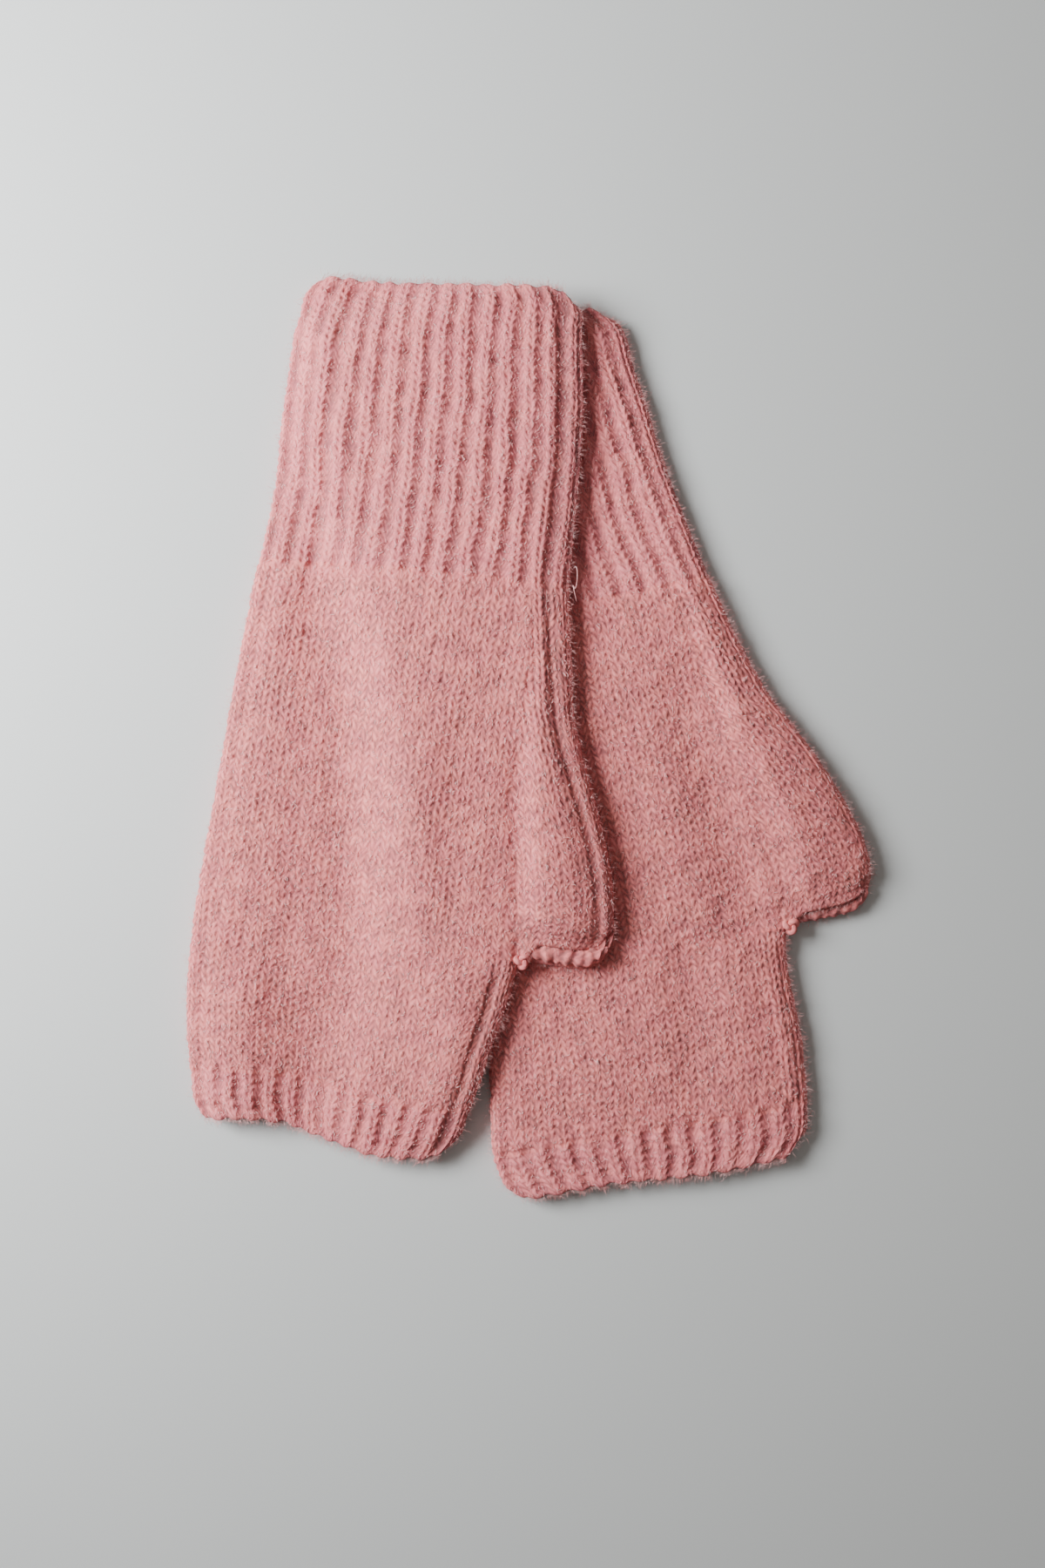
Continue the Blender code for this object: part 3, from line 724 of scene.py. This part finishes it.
def edge_chain(name, knitted, columns, half_width, rise, back, lift_up):
    """The cast-off chain on the back edge of a thumb's mouth: plump stitches that lie
    one behind the other, swept along the rim as a cord of this half width and rise."""
    rim = 0.5 * (knitted["outer"][-1, columns] + knitted["inner"][-1, columns])
    before = 0.5 * (knitted["outer"][-12, columns] + knitted["inner"][-12, columns])
    run = np.concatenate(([0.0], np.cumsum(np.linalg.norm(np.diff(rim, axis=0), axis=1))))
    at = np.linspace(0.0, run[-1], int(run[-1] / CHAIN_STEP) + 1)
    toward = unit(points_at(at, run, before - rim))
    centre = points_at(at, run, rim) + toward * back
    centre[:, 2] += lift_up
    lifted = unit(np.cross(unit(np.gradient(centre, axis=0)), toward))
    around = 18
    turn = np.arange(around) * math.tau / around
    turned_by = 0.30 * np.sin(at / 1.9)[:, None]
    stitch = stitch_height(turn[None, :] / math.pi + 0.5 + turned_by, at[:, None] / CHAIN_STITCH)
    knobs = 0.5 + 0.5 * np.cos(math.tau * at[:, None] / CHAIN_STITCH + 0.8)
    swell = 0.66 + 0.22 * stitch + 0.16 * knobs
    swell = swell * (1.0 + 0.22 * uneven(71, at[:, None] / 1.5, turn[None, :] / 1.2))
    swell = swell * np.clip(np.minimum(at / 2.0, (run[-1] - at) / 4.0), 0.04, 1.0)[:, None] ** 0.5
    sideways = swell * np.cos(turn) * half_width
    upward = swell * np.sin(turn) * rise
    grid = centre[:, None] + toward[:, None] * sideways[..., None]
    grid = grid + lifted[:, None] * upward[..., None]
    grid[..., 2] = np.maximum(grid[..., 2], 0.05)
    # Painted shade: the cast-off chain is toned darker than the cloth, and darker still in its
    # stitches' hollows.
    return plain_wool_tube(name, grid * MM, False, 0.02 + 0.50 * stitch,
                           lambda ring, step: (step * 2.0 / around, at[ring] / 2.25))


cloth, under_hand = knit_piece(
    "under_hand", PLAIN_WOOL, "plain_wool", UNDER_HAND, (37, 46), rib_fades_out, **UNDER,
    hidden_wales=8, creases=UNDER_CREASES, droop=1.1,
    last_width=length_over_top(UNDER_FINGERS[0]) / WALES_ON_TOP)
under_mouth = edge_chain("under_thumb_chain", cloth, cloth["mouth_back"], 1.5, 1.3, 1.35, 0.9)

# Under mitten: finger part and band
# The tube goes on in plain stitch above the thumb and draws in a little. It ends in a
# short band of the cuff's rib, six courses long and cast off loosely, so its edge is
# wavy where the ribs stand.

UNDER_BAND = UNDER_FINGERS[-1:] + flat_sections(
    (207.0, -36.8, 31.0, 38.2, 5.4, 5.6, 0.8, 2.6),
    (210.6, -34.2, 27.0, 34.4, 5.4, 5.6, 0.8, 2.8),
)


def rib_from(first_course):
    """Plain stitch that turns to rib over the last courses before this one."""
    return lambda course: smooth_step((course - first_course) / 1.4 + 1.0)


cloth, under_fingers = knit_piece(
    "under_fingers", PLAIN_WOOL, "plain_wool", UNDER_FINGERS, (83, 22), rib_from(105),
    **UNDER, creases=UNDER_CREASES, opens=7.0)

cloth, under_band = knit_piece(
    "under_band", RIB_WOOL, "rib_wool", UNDER_BAND, (105, 6), all_rib, **UNDER,
    free_end=True, creases=UNDER_CREASES)

# Upper mitten: cuff
# The second mitten is knitted as the first, of the same wool. It is laid over it, so
# its cloth climbs the other one's folded edge and its cuff, and its finger end sags to
# the table.

UPPER_PLACE = (-21.017, 108.81, 8.0)
LAYER_GAP = 0.4
CUFF_CLIMB_RUN = 16.0
WRIST_CLIMB_RUN = 20.0
FINGER_CLIMB_RUN = 32.0
CLIMB_LEAD = 3.0
SAG_START = 184.0
SAG_RUN = 26.0
SAG_SHARE = 0.75
UPPER_CUFF = (
    (0.0, -31.6, 24.0, 31.0, 5.6, -22.0, 5.4, 5.8, 5.6, 5.4, 0.0, -3.4, 0.0),
    (3.0, -33.6, 26.0, 34.0, 5.8, -22.0, 5.3, 5.8, 5.6, 5.4, 0.0, -3.4, 0.0),
    (10.0, -34.6, 27.8, 35.6, 5.9, -22.0, 5.2, 5.8, 5.6, 5.4, 0.0, -3.4, 0.0),
    (17.0, -35.3, 29.0, 36.8, 6.0, -22.0, 5.2, 5.8, 5.5, 5.4, 0.0, -3.4, 0.0),
    (26.0, -35.5, 30.0, 38.2, 6.0, -22.0, 5.2, 5.8, 5.5, 5.4, 0.0, -3.4, 0.0),
    (36.5, -35.6, 31.0, 39.2, 6.0, -22.0, 5.2, 5.9, 5.5, 5.4, 0.0, -3.4, 0.0),
    (53.5, -35.0, 31.5, 40.2, 6.0, -21.2, 5.2, 5.9, 5.5, 5.4, 0.0, -3.4, 0.0),
    (70.15, -36.2, 31.6, 41.0, 6.0, -20.3, 5.2, 5.9, 5.4, 5.6, 0.0, -3.4, 0.0),
)


def to_mitten(place, x, y):
    lean = math.radians(place[2])
    x = x - place[0]
    y = y - place[1]
    across = x * math.cos(lean) - y * math.sin(lean)
    along = -x * math.sin(lean) - y * math.cos(lean)
    return across, along


def lift_over_under_mitten(x, y):
    """Height of the upper mitten's underside over the table."""
    across, along = to_mitten(UNDER_PLACE, x, y)
    upper_along = to_mitten(UPPER_PLACE, x, y)[1]
    edge = np.array([row[:2] for row in UNDER_CUFF + UNDER_HAND[1:] + UNDER_FINGERS[1:]
                     + UNDER_BAND[1:]])
    widening = smooth_step((upper_along - 60.0) / 130.0)
    run = WRIST_CLIMB_RUN + widening * (FINGER_CLIMB_RUN - WRIST_CLIMB_RUN)
    inside = across - np.interp(along, edge[:, 0], edge[:, 1])
    from_left = smooth_step((inside + run) / (run - CLIMB_LEAD))
    from_cuff = smooth_step((along + CUFF_CLIMB_RUN) / (CUFF_CLIMB_RUN - CLIMB_LEAD))
    sag = SAG_SHARE * smooth_step((upper_along - SAG_START) / SAG_RUN)
    return (THICKNESS + LAYER_GAP) * from_left * from_cuff * (1.0 - sag)


# Soft troughs and ridges, as on the under mitten
UPPER_CREASES = (
    (-12.5, 42.0, -7.5, 100.0, 10.5, 0.85),
    (-4.0, 111.0, -1.5, 164.0, 11.0, 1.00),
    (-3.0, 177.0, -2.5, 208.0, 12.0, 1.40),
    (-20.5, 98.0, -20.5, 164.0, 11.5, -0.80),
    (-22.5, 179.0, -21.0, 208.0, 13.0, -2.00),
    (9.5, 118.0, 11.0, 184.0, 11.0, -0.45),
    (19.5, 108.0, 22.5, 156.0, 7.5, 0.40),
    (31.0, 84.0, 33.5, 106.0, 5.0, -0.30),
    (33.5, 110.0, 40.6, 157.0, 4.4, 0.50),
    (39.4, 154.0, 40.4, 158.0, 2.0, 0.60),
)

UPPER = {"place": UPPER_PLACE, "lift": lift_over_under_mitten, "seed": 10,
         "creases": UPPER_CREASES, "fall": (11.5, 0.75, 1.1)}

cloth, upper_cuff = knit_piece(
    "upper_cuff", RIB_WOOL, "rib_wool", UPPER_CUFF, (0, 37), all_rib, **UPPER,
    free_start=True, seam=(6.2, 6.2, 1.9, 0.80))

# Upper mitten: hand
# Stocking stitch of the same wool, knitted on from the cuff, with the half thumb on the
# same side as on the under one. Outside the soft groove of its seam the cloth falls
# away, and the front of the thumb's mouth sinks below the cast-off back.

UPPER_HAND = (
    UPPER_CUFF[-1],
    (77.0, -36.8, 32.3, 42.0, 6.2, -19.9, 5.1, 6.0, 5.4, 5.7, 0.0, -3.4, 0.0),
    (85.0, -37.2, 33.0, 43.5, 6.3, -19.5, 5.0, 6.2, 5.4, 5.9, 0.0, -3.1, 0.0),
    (93.0, -37.6, 33.1, 45.0, 6.4, -19.0, 5.0, 6.3, 5.3, 6.1, 0.0, -2.7, 0.0),
    (101.0, -38.0, 33.3, 46.9, 6.5, -18.6, 5.0, 6.3, 5.2, 6.4, 0.0, -2.0, 0.0),
    (109.0, -38.2, 33.3, 50.0, 6.6, -18.1, 5.0, 6.3, 5.1, 6.8, 0.0, -1.4, 0.0),
    (116.0, -38.4, 33.4, 53.3, 6.6, -17.8, 4.9, 6.3, 5.0, 7.1, 0.0, -0.8, 0.0),
    (123.0, -38.7, 34.0, 56.5, 6.6, -17.4, 4.9, 6.3, 4.9, 7.4, 0.0, -0.4, 0.0),
    (130.5, -39.0, 35.0, 59.4, 6.6, -16.9, 4.9, 6.2, 4.8, 7.6, 0.0, -0.1, 0.0),
    (137.5, -39.3, 36.2, 61.4, 6.6, -16.6, 4.8, 6.1, 4.8, 7.6, 0.0, 0.0, 0.0),
    (144.5, -39.5, 37.3, 62.6, 6.6, -16.2, 4.8, 6.0, 4.8, 7.4, 0.0, 0.0, 0.6),
    (151.5, -39.7, 38.4, 63.2, 6.6, -15.8, 4.8, 6.0, 4.8, 7.1, 0.0, 0.0, 2.4),
    (158.15, -39.8, 40.6, 62.0, 6.6, -15.4, 4.8, 6.0, 4.8, 6.8, 0.0, 0.0, 4.6),
)
UPPER_FINGERS = (
    (158.15, -39.8, 34.0, 41.2, 6.6, -15.4, 4.8, 6.0, 5.4, 5.4, 0.0, 0.0, 0.0),
    (168.5, -39.6, 33.0, 40.1, 6.6, -14.8, 4.8, 6.0, 5.4, 5.4, 0.3, 0.0, 0.0),
    (181.0, -38.6, 31.0, 37.6, 6.4, -14.1, 4.8, 5.9, 5.4, 5.4, 0.9, 0.0, 0.0),
    (189.0, -37.2, 30.0, 36.2, 6.2, -13.7, 4.9, 5.8, 5.4, 5.4, 1.4, 0.0, 0.0),
    (196.2, -35.6, 29.0, 34.9, 6.0, -13.3, 5.0, 5.7, 5.4, 5.4, 1.8, 0.0, 0.0),
)

cloth, upper_hand = knit_piece(
    "upper_hand", PLAIN_WOOL, "plain_wool", UPPER_HAND, (37, 46), rib_fades_out, **UPPER,
    seam=(6.2, 4.4, 1.7, 0.72), droop=2.2,
    last_width=length_over_top(UPPER_FINGERS[0]) / WALES_ON_TOP)
upper_mouth = edge_chain("upper_thumb_chain", cloth, cloth["mouth_back"], 2.1, 1.4, 2.6, 1.2)

# Upper mitten: finger part and band
# Plain stitch and a band of rib, as on the under mitten, but two courses shorter. The
# end sags to the table past the other mitten's edge, and hangs lower in the middle.

UPPER_BAND = (
    (196.2, -35.5, 29.0, 34.8, 6.0, -13.3, 5.0, 5.7, 5.4, 5.4, 1.8, 0.0, 0.0),
    (204.5, -33.4, 26.5, 32.6, 6.0, -12.8, 5.2, 5.7, 5.4, 5.4, 2.3, 0.0, 0.0),
    (208.4, -31.0, 24.0, 30.2, 5.6, -12.6, 5.2, 5.6, 5.4, 5.4, 2.6, 0.0, 0.0),
)

cloth, upper_fingers = knit_piece(
    "upper_fingers", PLAIN_WOOL, "plain_wool", UPPER_FINGERS, (83, 20), rib_from(103),
    **UPPER, seam=(5.2, 5.0, 1.8, 0.75), opens=8.0)

cloth, upper_band = knit_piece(
    "upper_band", RIB_WOOL, "rib_wool", UPPER_BAND, (103, 6), all_rib, **UPPER,
    free_end=True, seam=(5.0, 4.6, 1.8, 0.75))

# Knots
# Where each thumb parts from the fingers, the end of the yarn is drawn through the last
# stitches and tied in a small overhand knot, which closes the corner of the mouth.

KNOT_SIZE = 1.6
KNOT_SUNK = 0.4

def rings_across(ahead, hint, around):
    """A ring of unit points across each direction, for the skin of a yarn or a hair."""
    ahead = unit(ahead)
    side = unit(np.cross(ahead, hint))
    angle = np.arange(around) * math.tau / around
    return (np.cos(angle)[None, :, None] * side[:, None]
            + np.sin(angle)[None, :, None] * np.cross(side, ahead)[:, None])


def tied_knot(name, place, size):
    turn = np.linspace(0.0, math.tau, 72, endpoint=False)
    path = np.stack((np.sin(turn) + 2.0 * np.sin(2.0 * turn),
                     np.cos(turn) - 2.0 * np.cos(2.0 * turn),
                     -1.1 * np.sin(3.0 * turn)), 1) * size / 3.0
    around = 10
    rings = rings_across(np.roll(path, -1, 0) - np.roll(path, 1, 0), (0.0, 0.0, 1.0), around)
    twist = 2.0 * math.tau * np.arange(around)[None, :] / around + 9.0 * turn[:, None]
    ply = 1.0 + 0.10 * np.sin(twist)
    grid = path[:, None] + rings * (0.45 * size * ply)[..., None] + place
    plain_wool_tube(name, grid * MM, True, np.full(len(turn) * around, 0.7),
                    lambda ring, step: (0.5 + step / around, ring / 6.0))


for mitten in ("under", "upper"):
    crotch = surfaces[mitten + "_hand"]
    spot = crotch["outer"][-1, crotch["mouth"][0] + 2]
    tied_knot(mitten + "_crotch_knot", spot - (0.0, 0.0, KNOT_SUNK), KNOT_SIZE)

# Lint
# Brushed wool sheds fine fibres. Most lie along the stitches and catch the light, and
# along the folds and the edges some stand up as a soft halo.

LYING_LENGTH = (0.9, 2.4)
LYING_RADIUS = (0.045, 0.080)
STANDING_RADIUS = (0.018, 0.030)
LONGEST_STANDING = 3.6
HEM_FIBRES = 5.0        # to each column of points along a cuff's edge or a band's
MOUTH_FIBRES = 2.4


def lint_wool():
    material, tree, shader = new_material("lint_wool", 0.9)
    shader.inputs["Specular IOR Level"].default_value = 0.08
    place = tree.nodes.new("ShaderNodeTexCoord").outputs["Object"]
    tone = add_node(tree, "ShaderNodeTexNoise", {"Scale": 600.0, "Vector": place})
    color = two_tones(tree, tone.outputs["Fac"], 0.35, (0.88, 0.33, 0.32), 0.65, (1.0, 0.62, 0.60))
    tree.links.new(color, shader.inputs["Base Color"])
    return material


LINT_WOOL = lint_wool()


def fibre_mesh(name, points, radius):
    """Closed spindles as thin as a hair, each through three points."""
    rings = rings_across(points[:, 2] - points[:, 0], (0.31, 0.22, 0.92), 3)
    rings = rings * radius[:, None, None]
    grid = np.concatenate((points[:, :1], points[:, 1:2] + rings, points[:, 2:]), 1)
    grid[..., 2] = np.maximum(grid[..., 2], 0.03)
    spindle = []
    for step in range(3):
        after = (step + 1) % 3
        spindle.append((0, 1 + after, 1 + step))
        spindle.append((1 + step, 1 + after, 4))
    faces = np.array(spindle)[None] + 5 * np.arange(len(points))[:, None, None]
    mesh = bpy.data.meshes.new(name)
    mesh.from_pydata(grid.reshape(-1, 3) * MM, [], faces.reshape(-1, 3))
    mesh.shade_smooth()
    add_piece(mesh, LINT_WOOL)


def turned(vector, axis, angle):
    across = np.cross(axis, vector)
    return vector * np.cos(angle)[:, None] + across * np.sin(angle)[:, None]


def lying_fibres(knitted, density, chance):
    """Fibres that lie along the legs of the V stitches, where the cloth can be seen."""
    outer = knitted["outer"]
    along = outer[1:] - outer[:-1]
    across = np.roll(outer, -1, 1)[:-1] - outer[:-1]
    area = np.linalg.norm(np.cross(along, across), axis=2)
    seen = np.clip(knitted["normal"][:-1, :, 2] + 0.35, 0.02, 1.0)
    weight = (area * seen).ravel()
    count = int(weight.sum() * density)
    picked = chance.choice(len(weight), count, p=weight / weight.sum())
    line, column = np.unravel_index(picked, area.shape)
    spot = outer[line, column] + chance.uniform(0, 1, (count, 1)) * along[line, column]
    spot = spot + chance.uniform(0, 1, (count, 1)) * across[line, column]
    out = knitted["normal"][line, column]
    down = along[line, column]
    down = unit(down - out * np.sum(down * out, axis=1)[:, None])
    half = np.where(knitted["wale"][line, column] % 1.0 < 0.5, -1.0, 1.0)
    way = turned(down, out, half * math.radians(30.0) + chance.normal(0.0, 0.42, count))
    length = chance.uniform(*LYING_LENGTH, count)[:, None]
    bow = np.cross(out, way) * chance.normal(0.0, 0.22, (count, 1)) * length
    rise = out * chance.uniform(0.10, 0.34, (count, 1))
    tips = out * chance.uniform(-0.08, 0.22, (count, 1))
    points = np.stack((spot - 0.5 * way * length + 0.4 * tips,
                       spot + bow * 0.8 + rise,
                       spot + 0.5 * way * length + tips), 1)
    return points, chance.uniform(*LYING_RADIUS, count)


def standing_fibres(spot, out, along, chance):
    """Fibres that stand off a folded or a free edge, each curled over a little."""
    count = len(spot)
    way = out + 0.55 * along * chance.normal(0.0, 1.0, (count, 1))
    way = unit(way + chance.normal(0.0, 0.25, (count, 3)))
    curl = np.cross(way, chance.normal(0.0, 1.0, (count, 3)))
    length = chance.gamma(3.0, 0.42, count)[:, None] + 0.5
    length = np.minimum(length, LONGEST_STANDING)
    points = np.stack((spot - 0.25 * out,
                       spot + 0.46 * way * length + 0.16 * curl * length,
                       spot + 0.90 * way * length + 0.05 * curl * length), 1)
    return points, chance.uniform(*STANDING_RADIUS, count)


def fold_fibres(knitted, spacing, chance):
    outer = knitted["outer"]
    steep = np.abs(knitted["normal"][:-1, :, 2]) < 0.85
    line, column = np.nonzero(steep)
    run = np.linalg.norm(outer[1:, 0] - outer[:-1, 0], axis=1).sum()
    count = int(2.0 * run / spacing)
    picked = chance.integers(0, len(line), count)
    line, column = line[picked], column[picked]
    along = unit(outer[line + 1, column] - outer[line, column])
    return standing_fibres(outer[line, column], knitted["normal"][line, column], along, chance)


def rim_fibres(knitted, line, inward, columns, per_column, chance):
    """Fibres that stand off a free edge, whose other rows lie inward of it."""
    outer = knitted["outer"]
    column = chance.choice(columns, int(len(columns) * per_column))
    spot = outer[line, column]
    out = unit(spot - outer[inward, column])
    along = np.cross(out, (0.0, 0.0, 1.0))
    return standing_fibres(spot, out, along, chance)


for mitten, density, spacing, seed in (("under", 0.66, 0.10, 5), ("upper", 0.76, 0.18, 6)):
    chance = np.random.default_rng(seed)
    fibres = []
    for stretch in ("cuff", "hand", "fingers", "band"):
        knitted = surfaces[mitten + "_" + stretch]
        fibres.append(lying_fibres(knitted, density, chance))
        fibres.append(fold_fibres(knitted, spacing, chance))
        top = np.nonzero(knitted["on_top"])[0]
        rims = {"cuff": (0, 6, top, HEM_FIBRES), "band": (-1, -7, top, HEM_FIBRES),
                "hand": (-1, -7, knitted["mouth"], MOUTH_FIBRES)}
        if stretch in rims:
            fibres.append(rim_fibres(knitted, *rims[stretch], chance))
    points = np.concatenate([fibre[0] for fibre in fibres])
    radius = np.concatenate([fibre[1] for fibre in fibres])
    fibre_mesh(mitten + "_lint", points, radius)

# Stray curl
# One long hair of the wool has worked loose. Only one end is still spun in, so it curls
# over the gap between the two mittens.

CURL_START = (10.3, 40.4, 11.6)
CURL_RADIUS = 0.085

turn = np.linspace(0.0, 1.0, 40)
curl = np.stack((0.7 * np.sin(math.tau * turn) + 0.8 * turn,
                 1.3 * np.sin(3.2 * math.pi * turn) - 7.2 * turn,
                 0.9 * np.sin(math.pi * turn)), 1) + CURL_START
radius = CURL_RADIUS * np.sqrt(np.clip(np.minimum(turn, 1.0 - turn) * 8.0, 0.02, 1.0))
rings = rings_across(np.gradient(curl, axis=0), (0.0, 0.3, 0.95), 6)
grid = curl[:, None] + rings * radius[:, None, None]
mesh = bpy.data.meshes.new("stray_curl")
mesh.from_pydata(grid.reshape(-1, 3) * MM, [], tube_faces(40, 6))
mesh.shade_smooth()
turn_outward(mesh)
add_piece(mesh, LINT_WOOL)

# Table, light and camera
# A plain pale table top. Soft light falls from a window at the upper left, a little
# more from the ceiling, and the camera looks straight down.

bpy.ops.object.select_all(action="DESELECT")
bpy.ops.mesh.primitive_plane_add(size=3.0, location=(0.0, 0.0, -0.0002))
table_top = bpy.context.object
table_top.name = "table_top"
bpy.ops.object.transform_apply(location=True, rotation=True, scale=True)
pale, tree, shader = new_material("pale_table", 0.6)
shader.inputs["Base Color"].default_value = (0.63, 0.625, 0.61, 1.0)
table_top.data.materials.append(pale)

CAMERA_PLACE = (-0.001817, -0.01089, 0.322)
bpy.ops.object.camera_add(location=CAMERA_PLACE)
camera = bpy.context.object
camera.data.lens = 29.95
camera.data.sensor_width = 36.0
bpy.context.scene.camera = camera

world = bpy.data.worlds.new("soft_room")
bpy.context.scene.world = world
world.use_nodes = True
world.node_tree.nodes["Background"].inputs["Color"].default_value = (1.0, 0.95, 0.89, 1.0)
world.node_tree.nodes["Background"].inputs["Strength"].default_value = 0.13


def square_light(place, size, energy, color):
    bpy.ops.object.light_add(type="AREA", location=place)
    light = bpy.context.object
    light.data.shape = "SQUARE"
    light.data.size = size
    light.data.energy = energy
    light.data.color = color
    return light


window = square_light((-0.40, 0.120, 0.28), 0.25, 7.0, (0.93, 0.975, 1.0))
to_middle = Vector((0.20, 0.01, -0.25))
window.rotation_euler = to_middle.to_track_quat("-Z", "Y").to_euler()
square_light((-0.10, 0.12, 0.48), 0.40, 0.30, (1.0, 0.985, 0.96))
